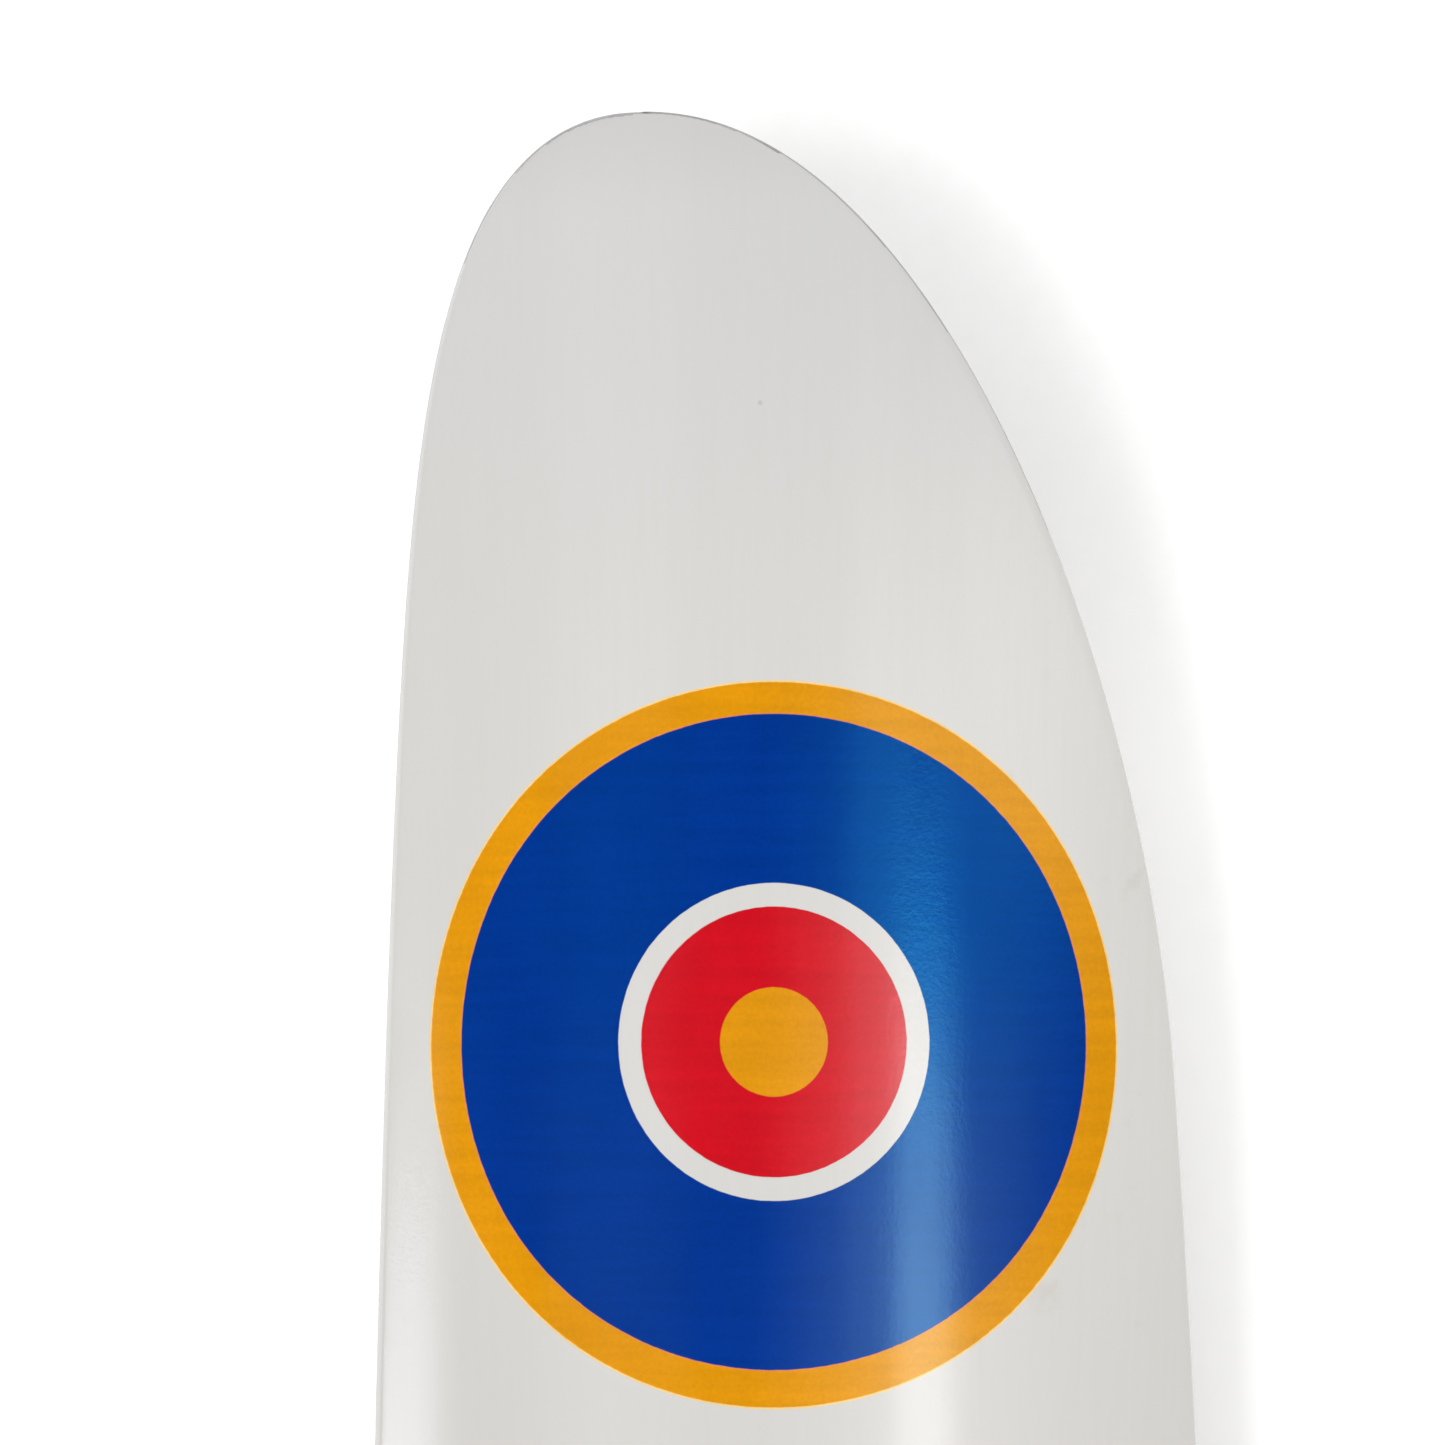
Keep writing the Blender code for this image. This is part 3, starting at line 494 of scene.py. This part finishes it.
def sheet_grid(stations, edges, thickness, rims, across):
    """Stations by spots: places along the chord, half thickness, lift, rim distance and chord share."""
    bends = 1 - np.cos(np.linspace(0, math.pi / 2, RIM_STEPS))
    low, high = edges(stations)
    chord = high - low
    front = np.minimum(thickness(stations, 0 * stations) / 2, chord * 0.2)
    back = np.minimum(thickness(stations, 0 * stations + 1) / 2, chord * 0.2)
    inner = np.linspace(0, 1, across + 1)[1:-1]
    middle = (low + front)[:, None] + inner[None] * (chord - front - back)[:, None]
    leading = low[:, None] + front[:, None] * bends[None]
    trailing = high[:, None] - back[:, None] * bends[None, ::-1]
    spots = np.concatenate([leading, middle, trailing], axis=1)
    share = (spots - low[:, None]) / chord[:, None]
    half = thickness(stations[:, None] + 0 * share, share) / 2
    places = np.stack([(stations[:, None] + 0 * spots).ravel(), spots.ravel()], axis=1)
    away = np.min([distance_to(np.array(line), places) for line in rims], axis=0).reshape(spots.shape)
    depth = np.minimum(1.0, away / half)
    return spots, half, half * np.sqrt(1 - (1 - depth) ** 2), away, share


def over_faces(grid):
    """A grid's value on each face of the closed surface: the upper side's columns, then the lower's."""
    middle = (grid[:-1, :-1] + grid[1:, :-1] + grid[:-1, 1:] + grid[1:, 1:]) / 4
    return np.append(np.concatenate([middle, middle[:, ::-1]], axis=1).ravel(), [0.0, 0.0])


def skin(rows, size):
    """Faces of the closed surface over a row of equal rings of points, with both ends."""
    index = np.arange(rows * size).reshape(rows, size)
    near, far = index[:-1], index[1:]
    sides = np.stack([near, np.roll(near, -1, 1), np.roll(far, -1, 1), far], axis=-1).reshape(-1, 4)
    return [list(face) for face in sides] + [list(index[0][::-1]), list(index[-1])]


def sheet_mesh(stations, edges, thickness, place, rims, across):
    """The closed surface of a rounded sheet, with each face's side, rim distance, share and station."""
    spots, half, lift, away, share = sheet_grid(stations, edges, thickness, rims, across)
    rows, columns = spots.shape
    along = stations[:, None] + 0 * spots
    upper, lower = place(along, spots, half, lift), place(along, spots, half, -lift)
    ring = np.concatenate([upper, lower[:, -2:0:-1]], axis=1)
    size = ring.shape[1]
    top = np.tile(np.arange(size) < columns - 1, rows - 1)
    marks = {"top": np.append(top, [False, False]), "away": over_faces(away)}
    marks.update(share=over_faces(share), station=over_faces(along))
    return ring.reshape(-1, 3), skin(rows, size), marks


def outward(points, faces):
    """Faces turned so that a closed solid's surface looks out."""
    volume = 0.0
    for face in faces:
        corner = points[face[0]]
        for one, two in zip(face[1:], face[2:]):
            volume += np.dot(corner, np.cross(points[one], points[two]))
    return faces if volume > 0 else [face[::-1] for face in faces]


def rim_lines(edges, stations, ends):
    """A sheet's outline as open lines: its two long edges, and a straight one at each cut end."""
    low, high = edges(stations)
    lines = [np.stack([stations, low], 1), np.stack([stations, high], 1)]
    for end in ends:
        first, last = edges(np.array([end]))
        lines.append(np.array([[end, first[0]], [end, last[0]]]))
    return lines


def wing_thickness(inboard, share):
    taper = np.maximum(0.0, share - SANDED_FROM) / (1 - SANDED_FROM)
    full = WING_SHEET + (TRAILING_SHEET - WING_SHEET) * taper
    return full * np.minimum(1.0, TIP_SHEET_SHARE + inboard / TIP_SANDED)


def make_wing_panel(side, word):
    """One arched panel: marked lacquer on top, plain below, and painted shade along its rims."""
    tip = HALF_SPAN * np.linspace(0.03, 1, 70) ** 3.2 * 0.28 + 0.01 * MM
    stations = np.concatenate([tip, np.linspace(tip[-1], HALF_SPAN - GAP / 2, 90)[1:]])
    fine = HALF_SPAN * np.linspace(0, 1, 260) ** 2.8
    low, high = wing_edges(fine)
    rims = [np.stack([fine, low], 1), np.stack([fine, high], 1)]

    def place(inboard, y, half, lift):
        x = side * (HALF_SPAN - inboard)
        angle, radius = np.arcsin(y / ARCH_R), ARCH_R - (half - lift)
        z = APEX_Z - ARCH_R + radius * np.cos(angle) + np.abs(x) * DIHEDRAL
        return np.stack([x, radius * np.sin(angle), z], axis=-1)

    points, faces, marks = sheet_mesh(stations, wing_edges, wing_thickness, place, rims, 72)
    name = "wing_panel_" + word
    # faces near the rims take the lacquer darkened with painted shade
    behind = np.clip((110 * MM - marks["station"]) / (100 * MM), 0, 1)
    rubbed = marks["away"] < np.where(marks["share"] < 0.4, RIM_SHADE_FRONT, RIM_SHADE_BACK * behind)
    choice = np.where(rubbed, 2, np.where(marks["top"], 0, 1)).tolist()
    materials = [FINISH["marked"], FINISH["lacquer"], FINISH["rubbed"]]
    faces = outward(points, faces)
    add_piece("fine_" + name, points, faces, materials, "wing", "white_lacquer", [name], choice)


def spread(low, high, count):
    """Stations that crowd towards both ends."""
    return low + (high - low) * (0.5 - 0.5 * np.cos(np.linspace(0, math.pi, count)))


def with_rims(low, high, count, radius):
    """Even stations, with the rounding of both ends."""
    bends = radius * (1 - np.cos(np.linspace(0, math.pi / 2, 6)))
    middle = np.linspace(low + radius, high - radius, count)[1:-1]
    return np.concatenate([low + bends, middle, (high - bends)[::-1]])


def tail_thickness(_station, share):
    return TAIL_SHEET + 0 * share


def flap_thickness(_station, share):
    return TAIL_SHEET + (TAIL_EDGE - TAIL_SHEET) * share


def level(side):
    def place(x, y, _half, lift):
        return np.stack([side * x, y, TAIL_Z + lift], axis=-1)

    return place


def upright(z, y, _half, lift):
    return np.stack([lift, y, z], axis=-1)


def make_tail():
    """Tailplane, fin, elevators and rudder: name, body, stations, edges, thickness, place and ends."""
    tip = TAIL_HALF_SPAN - 0.05 * MM
    span = spread(-tip, tip, 120)
    surfaces = [("tailplane", "fuselage", span, tailplane_edges, tail_thickness, level(1), ())]
    top = FIN_TOP_Z - 0.05 * MM
    rise = FIN_BASE_Z + (top - FIN_BASE_Z) * np.sin(np.linspace(0, math.pi / 2, 80))
    surfaces.append(("fin", "fuselage", rise, fin_edges, tail_thickness, upright, ()))
    for side, word in ((1, "left"), (-1, "right")):
        name = "elevator_" + word
        stations = with_rims(*ELEVATOR_X, 50, TAIL_SHEET / 2)
        surfaces.append((name, name, stations, elevator_edges, flap_thickness, level(side), ELEVATOR_X))
    stations = with_rims(*RUDDER_Z, 50, TAIL_SHEET / 2)
    surfaces.append(("rudder", "rudder", stations, rudder_edges, flap_thickness, upright, RUDDER_Z))
    for name, body, stations, edges, thickness, place, ends in surfaces:
        fine = spread(stations[0], stations[-1], 260)
        rims = rim_lines(edges, fine, ends)
        points, faces, _marks = sheet_mesh(stations, edges, thickness, place, rims, 30)
        finish = [FINISH["lacquer"]]
        add_piece("fine_" + name, points, outward(points, faces), finish, body, "white_lacquer", [name])


# ---- smaller pieces ---------------------------------------------------------------------------
KINDS = {
    # a word of the node's name: (finish, material slot)
    "plank": ("balsa_y", "balsa"),
    "rib_": ("balsa_rib", "balsa"),
    "dowel": ("dowel", "spruce"),
    "skid": ("spruce", "spruce"),
    "cheek": ("birch", "birch_ply"),
    "sill": ("birch_flat", "birch_ply"),
    "brace": ("birch_across", "birch_ply"),
    "canopy": ("canopy", "canopy_blue"),
    "grip": ("cork", "cork"),
    "ballast": ("lead", "lead"),
    "wire": ("steel", "spring_steel"),
    "nose": ("brass", "brass"),
    "tube": ("brass", "brass"),
}


MOVING_FLAPS = ("elevator_left", "elevator_right", "rudder")


def kind_of(name):
    return next(kind for word, kind in KINDS.items() if word in name)


def body_of(name):
    if name.startswith(("rib_", "dihedral")):
        return "wing"
    flap = name.replace("_tube", "")
    return flap if flap in MOVING_FLAPS else "fuselage"


def add_small(name, rings, extra=None, choice=None):
    """A small piece through a row of equal rings, in place of the CAD node of the same name."""
    finish, slot = kind_of(name)
    rings = np.array(rings)
    points = rings.reshape(-1, 3)
    faces = outward(points, skin(*rings.shape[:2]))
    materials = [FINISH[finish]] + ([FINISH[extra]] if extra else [])
    add_piece("fine_" + name, points, faces, materials, body_of(name), slot, [name], choice)


def oblong(centre, half_length, half_height, power, count=144):
    """A closed superellipse, anticlockwise."""
    angle = 2 * math.pi * (np.arange(count) + 0.5) / count
    across, up = np.cos(angle), np.sin(angle)
    first = centre[0] + half_length * np.sign(across) * np.abs(across) ** (2 / power)
    second = centre[1] + half_height * np.sign(up) * np.abs(up) ** (2 / power)
    return np.stack([first, second], axis=1)


def inset(outline, distance):
    """An anticlockwise outline moved inwards."""
    run = np.roll(outline, -1, axis=0) - np.roll(outline, 1, axis=0)
    run = run / np.linalg.norm(run, axis=1)[:, None]
    return outline - distance * np.stack([run[:, 1], -run[:, 0]], axis=1)


def plate_rings(outline, rims, place):
    """Rings of a flat plate with rounded rims; rims is ((low level, radius), (high level, radius))."""
    rings = []
    for way, (level, radius) in zip((1, -1), rims):
        for angle in np.linspace(0, math.pi / 2, RIM_STEPS)[::way]:
            depth = radius * (1 - math.cos(angle))
            rings.append(place(inset(outline, radius * (1 - math.sin(angle))), level + way * depth))
    return rings


def lying(outline, level):
    return np.stack([outline[:, 1], outline[:, 0], 0 * outline[:, 0] + level], axis=1)


def standing(outline, level):
    return np.stack([0 * outline[:, 0] + level, outline[:, 0], outline[:, 1]], axis=1)


def lathe_rings(y, z, profile, sides=48):
    """Rings round an axis along X from a list of (x, radius)."""
    angle = 2 * math.pi * np.arange(sides) / sides
    rings = []
    for x, radius in profile:
        across, up = y + radius * np.cos(angle), z + radius * np.sin(angle)
        rings.append(np.stack([0 * angle + x, across, up], axis=1))
    return rings


def make_canopy():
    """Glazing a little inside its raised bows and side rails."""
    foot = DECK_Z + 2 * GAP + 1.2 * MM
    front, back, width, height = -35 * MM, 33 * MM, 6.6 * MM, 12.5 * MM
    bows = (-0.66, -0.22, 0.24, 0.66)
    half_bow, slope = 0.016, 0.003
    steps = (half_bow, half_bow + slope)
    shares = [-math.cos(angle) for angle in np.linspace(0.14, math.pi - 0.14, 70)]
    shares = [share for share in shares if all(abs(share - bow) > half_bow + slope for bow in bows)]
    shares += [bow + way * step for bow in bows for way in (-1, 1) for step in steps]
    shares = np.array(sorted(shares))
    rail = 0.16
    over = np.linspace(rail + 0.02, math.pi - rail - 0.02, 44)
    angles = np.concatenate([[0, rail], over, [math.pi - rail, math.pi]])
    on_bow = np.array([any(abs(share - bow) < half_bow + 1e-6 for bow in bows) for share in shares])
    on_rail = (angles < rail + 0.01) | (angles > math.pi - rail - 0.01)
    raised = on_bow[:, None] | on_rail[None]
    lead = (shares + 1) / 2
    body = (4 * lead * (1 - lead)) ** 0.62 * (1.12 - 0.45 * lead)
    size = body[:, None] * np.where(raised, 1.0, 0.965)
    y = (front + back) / 2 + (back - front) / 2 * shares
    x = width * size * np.cos(angles)[None]
    z = foot + height * size * np.sin(angles)[None] ** 0.9
    rings = np.stack([x, y[:, None] + 0 * x, z], axis=-1)
    next_raised = np.roll(raised, -1, 1)
    framed = (raised | next_raised)[:-1] | (raised | next_raised)[1:]
    choice = [int(mark) for mark in framed.ravel()] + [1, 1]
    add_small("canopy", rings, "lacquer", choice)


def make_small_pieces():
    """Skid, sill, canopy, cork pads and rivets."""
    skid = oblong((-11 * MM, 0), 73 * MM, 8 * MM, 5)
    top = BELLY_Z - GAP
    add_small("belly_skid", plate_rings(skid, ((0, 0.1 * MM), (top, 0.6 * MM)), lying))
    sill = oblong((-2 * MM, 0), 39 * MM, 8 * MM, 2.6)
    base = DECK_Z + GAP
    add_small("cockpit_sill", plate_rings(sill, ((base, 0.2 * MM), (base + 1.2 * MM, 0.35 * MM)), lying))
    make_canopy()
    pad = oblong((89 * MM, 23.5 * MM), 17 * MM, 10.5 * MM, 3)
    inner = PLANK_W / 2 + GAP
    for side, word in ((1, "left"), (-1, "right")):
        low, high = sorted((side * inner, side * (inner + 1.3 * MM)))
        rims = ((low, 0.35 * MM if side < 0 else 0.1 * MM), (high, 0.35 * MM if side > 0 else 0.1 * MM))
        add_small("grip_pad_" + word, plate_rings(pad, rims, standing))
    reach, head = PLANK_W / 2 + GAP + CAP_T + 0.3 * MM, 0.9 * MM
    bend = np.linspace(0.1, math.pi / 2, 9)
    dome = [(-reach - head * math.cos(angle), RIVET_HEAD_R * math.sin(angle)) for angle in bend]
    dome.append((-reach + 0.01 * MM, RIVET_SHANK_R))
    profile = dome + [(-x, radius) for x, radius in reversed(dome)]
    for name, (y, z) in RIVETS.items():
        add_small(name, lathe_rings(y, z, profile))


def smooth_over(name):
    """A smooth-shaded copy of a CAD piece whose shape is right, with its flat sides left flat."""
    bm = bmesh.new()
    bm.from_mesh(frame["nodes"][name].data)
    bmesh.ops.remove_doubles(bm, verts=bm.verts, dist=0.001 * MM)
    bmesh.ops.dissolve_limit(bm, angle_limit=math.radians(0.3), verts=bm.verts, edges=bm.edges)
    points = [tuple(v.co) for v in bm.verts]
    faces = [[v.index for v in face.verts] for face in bm.faces]
    bm.free()
    finish, slot = kind_of(name)
    add_piece("fine_" + name, points, faces, [FINISH[finish]], body_of(name), slot, [name])


# ---- studio -----------------------------------------------------------------------------------
PANEL_UP = Vector((math.sin(math.atan(DIHEDRAL)), 0, math.cos(math.atan(DIHEDRAL))))
AIM = Vector((-224.35 * MM, -6.4 * MM, APEX_Z + 224.35 * MM * DIHEDRAL - 7 * MM))
VIEW_DISTANCE = 1.6
FRAME_WIDTH = 180.6 * MM
KEY_DISTANCE = 2.2
REFLECTED_DISTANCE = 1.8  # of the lights that show only in the gloss
COOL_LIGHT = (0.955, 0.98, 1.09)


def turned(degrees_to_tail, degrees_inboard=0.0):
    """A direction leaning from the panel's own upright towards the tail and towards the body."""
    a, b = math.radians(degrees_to_tail), math.radians(degrees_inboard)
    aft, inboard = Vector((0, 1, 0)), Vector((1, 0, 0))
    return (PANEL_UP + aft * math.tan(a) + inboard * math.tan(b)).normalized()


def make_camera():
    """A camera square to the wing panel, with the tail to the right."""
    data = bpy.data.cameras.new("camera")
    data.sensor_width = 36.0
    data.lens = data.sensor_width * VIEW_DISTANCE / FRAME_WIDTH
    data.clip_end = 100.0
    camera = bpy.data.objects.new("camera", data)
    bpy.context.scene.collection.objects.link(camera)
    camera.location = AIM + PANEL_UP * VIEW_DISTANCE
    right = Vector((0, 1, 0))
    up = PANEL_UP.cross(right)
    rotation = np.array([right, up, PANEL_UP]).T
    camera.rotation_mode = "QUATERNION"
    camera.rotation_quaternion = Matrix(rotation.tolist()).to_quaternion()
    bpy.context.scene.camera = camera


def area_light(name, direction, distance, size, radiance, glossy=True, diffuse=True):
    """A rectangular softbox that faces the wing; size is (along the span, along the chord)."""
    data = bpy.data.lights.new(name, "AREA")
    data.shape = "RECTANGLE"
    data.size, data.size_y = size[1], size[0]
    data.energy = radiance * math.pi * size[0] * size[1]
    light = bpy.data.objects.new(name, data)
    bpy.context.scene.collection.objects.link(light)
    light.location = AIM + direction * distance
    across = Vector((-1, 0, 0)).cross(direction).normalized()
    along = direction.cross(across).normalized()
    light.rotation_mode = "QUATERNION"
    light.rotation_quaternion = Matrix((across, along, direction)).transposed().to_quaternion()
    light.visible_camera = False
    light.visible_glossy = glossy
    light.visible_diffuse = diffuse
    return light


def reflected_light(name, direction, size, radiance):
    return area_light(name, direction, REFLECTED_DISTANCE, size, radiance, diffuse=False)


def light_nodes(light):
    """A light's nodes with its own face as (tailward, outboard) places in metres from its middle."""
    light.data.use_nodes = True
    g = Nodes(light.data.node_tree)
    face = g.axes(g.tree.nodes.new("ShaderNodeNewGeometry").outputs["Parametric"])
    tailward = g.math("MULTIPLY", g.math("SUBTRACT", face[0], 0.5), light.data.size)
    outboard = g.math("MULTIPLY", g.math("SUBTRACT", 0.5, face[1]), light.data.size_y)
    return g, tailward, outboard


def dim(light, g, share):
    g.put(light.data.node_tree.nodes["Emission"].inputs["Strength"], share)


def feather_right_strip(light):
    """The strip has a soft tail side, and a forward side that is wide and soft towards the tip."""
    g, tailward, outboard = light_nodes(light)
    from_end = g.math("SUBTRACT", light.data.size_y / 2, outboard)
    from_tail_side = g.math("SUBTRACT", light.data.size / 2, tailward)
    narrowing = g.step(from_end, 0.08, 0.165)
    outer = g.step(narrowing, 0.0, 1.0, 0.90, 0.49)
    inner = g.step(narrowing, 0.0, 1.0, 0.42, 0.32)
    side = g.math("MULTIPLY", g.step(from_tail_side, outer, inner), g.step(from_tail_side, 0.0, 0.22))
    along = g.math("MULTIPLY", g.step(from_end, 0.0, 0.06), g.step(from_end, 0.085, 0.18, 1.0, 0.534))
    dim(light, g, g.math("MULTIPLY", side, along))


def feather_left_strip(light):
    """The strip fades over its tail side and at its outer end."""
    g, tailward, outboard = light_nodes(light)
    from_end = g.math("SUBTRACT", light.data.size_y / 2, outboard)
    side = g.step(tailward, light.data.size / 2, light.data.size / 2 - 0.26)
    dim(light, g, g.math("MULTIPLY", side, g.step(from_end, 0.0, 0.06)))


def feather_round(light):
    """A glow that fades from the light's middle to its rim."""
    g, tailward, outboard = light_nodes(light)
    x = g.math("DIVIDE", tailward, light.data.size / 2)
    y = g.math("DIVIDE", outboard, light.data.size_y / 2)
    away = g.math("SQRT", g.math("ADD", g.math("MULTIPLY", x, x), g.math("MULTIPLY", y, y)))
    dim(light, g, g.step(away, 1.0, 0.1))


def make_world():
    """A pale surround for diffuse light, which gloss sees as a dark studio with pale ends."""
    world = bpy.data.worlds.new("studio")
    bpy.context.scene.world = world
    world.use_nodes = True
    g = Nodes(world.node_tree)
    back = g.tree.nodes["Background"]
    path = g.tree.nodes.new("ShaderNodeLightPath")
    gloss = path.outputs["Is Glossy Ray"]
    sideways, tailward, up = g.axes(g.tree.nodes.new("ShaderNodeTexCoord").outputs["Generated"])
    lean = g.math("MULTIPLY_ADD", tailward, 0.10, 1.0)
    rise = g.step(up, -0.1, 0.7, 0.74, 1.11)
    mirrored = g.step(g.math("ABSOLUTE", sideways), 0.35, 0.8, 0.015, 0.8)
    lit = g.step(gloss, 0.0, 1.0, g.math("MULTIPLY", lean, rise), mirrored)
    seen = path.outputs["Is Camera Ray"]
    g.put(back.inputs["Strength"], g.step(seen, 0.0, 1.0, lit, 1.0))
    back.inputs["Color"].default_value = (1.0, 1.0, 1.0, 1.0)


def make_floor():
    """A wide flat sheet that the glider stands on."""
    mesh = bpy.data.meshes.new("floor")
    reach = 30.0
    corners = [(-reach, -reach, 0), (reach, -reach, 0), (reach, reach, 0), (-reach, reach, 0)]
    mesh.from_pydata(corners, [], [(0, 1, 2, 3)])
    mesh.materials.append(floor_paint())
    floor = bpy.data.objects.new("floor", mesh)
    bpy.context.scene.collection.objects.link(floor)


def make_studio():
    """World, key light, the lights that the gloss reflects, and the floor."""
    make_world()
    bpy.context.scene.view_settings.view_transform = "Standard"
    area_light("key", turned(-25.0, 4.0), KEY_DISTANCE, (0.9, 0.8), 8.4, glossy=False)
    feather_right_strip(reflected_light("right_strip", turned(17.3, 16.6), (0.88, 0.98), 7.6))
    feather_round(reflected_light("right_patch", turned(16.6, 2.4), (0.44, 0.46), 0.7))
    left = reflected_light("left_strip", turned(-61.5, 34.5), (0.88, 0.62), 4.8)
    left.data.color = COOL_LIGHT
    feather_left_strip(left)
    feather_round(reflected_light("glow", turned(23.5, 8.0), (0.8, 1.9), 1.2))
    feather_round(reflected_light("aft_glow", turned(41.0, -1.0), (0.24, 1.3), 1.2))
    make_floor()


for obj in [item for item in bpy.data.objects if item.name in ("Cube", "Light", "Camera")]:
    bpy.data.objects.remove(obj)
for side, word in ((1, "left"), (-1, "right")):
    make_wing_panel(side, word)
make_tail()
make_small_pieces()
for name in [name for name, node in frame["nodes"].items() if not node.hide_render]:
    smooth_over(name)
make_camera()
make_studio()
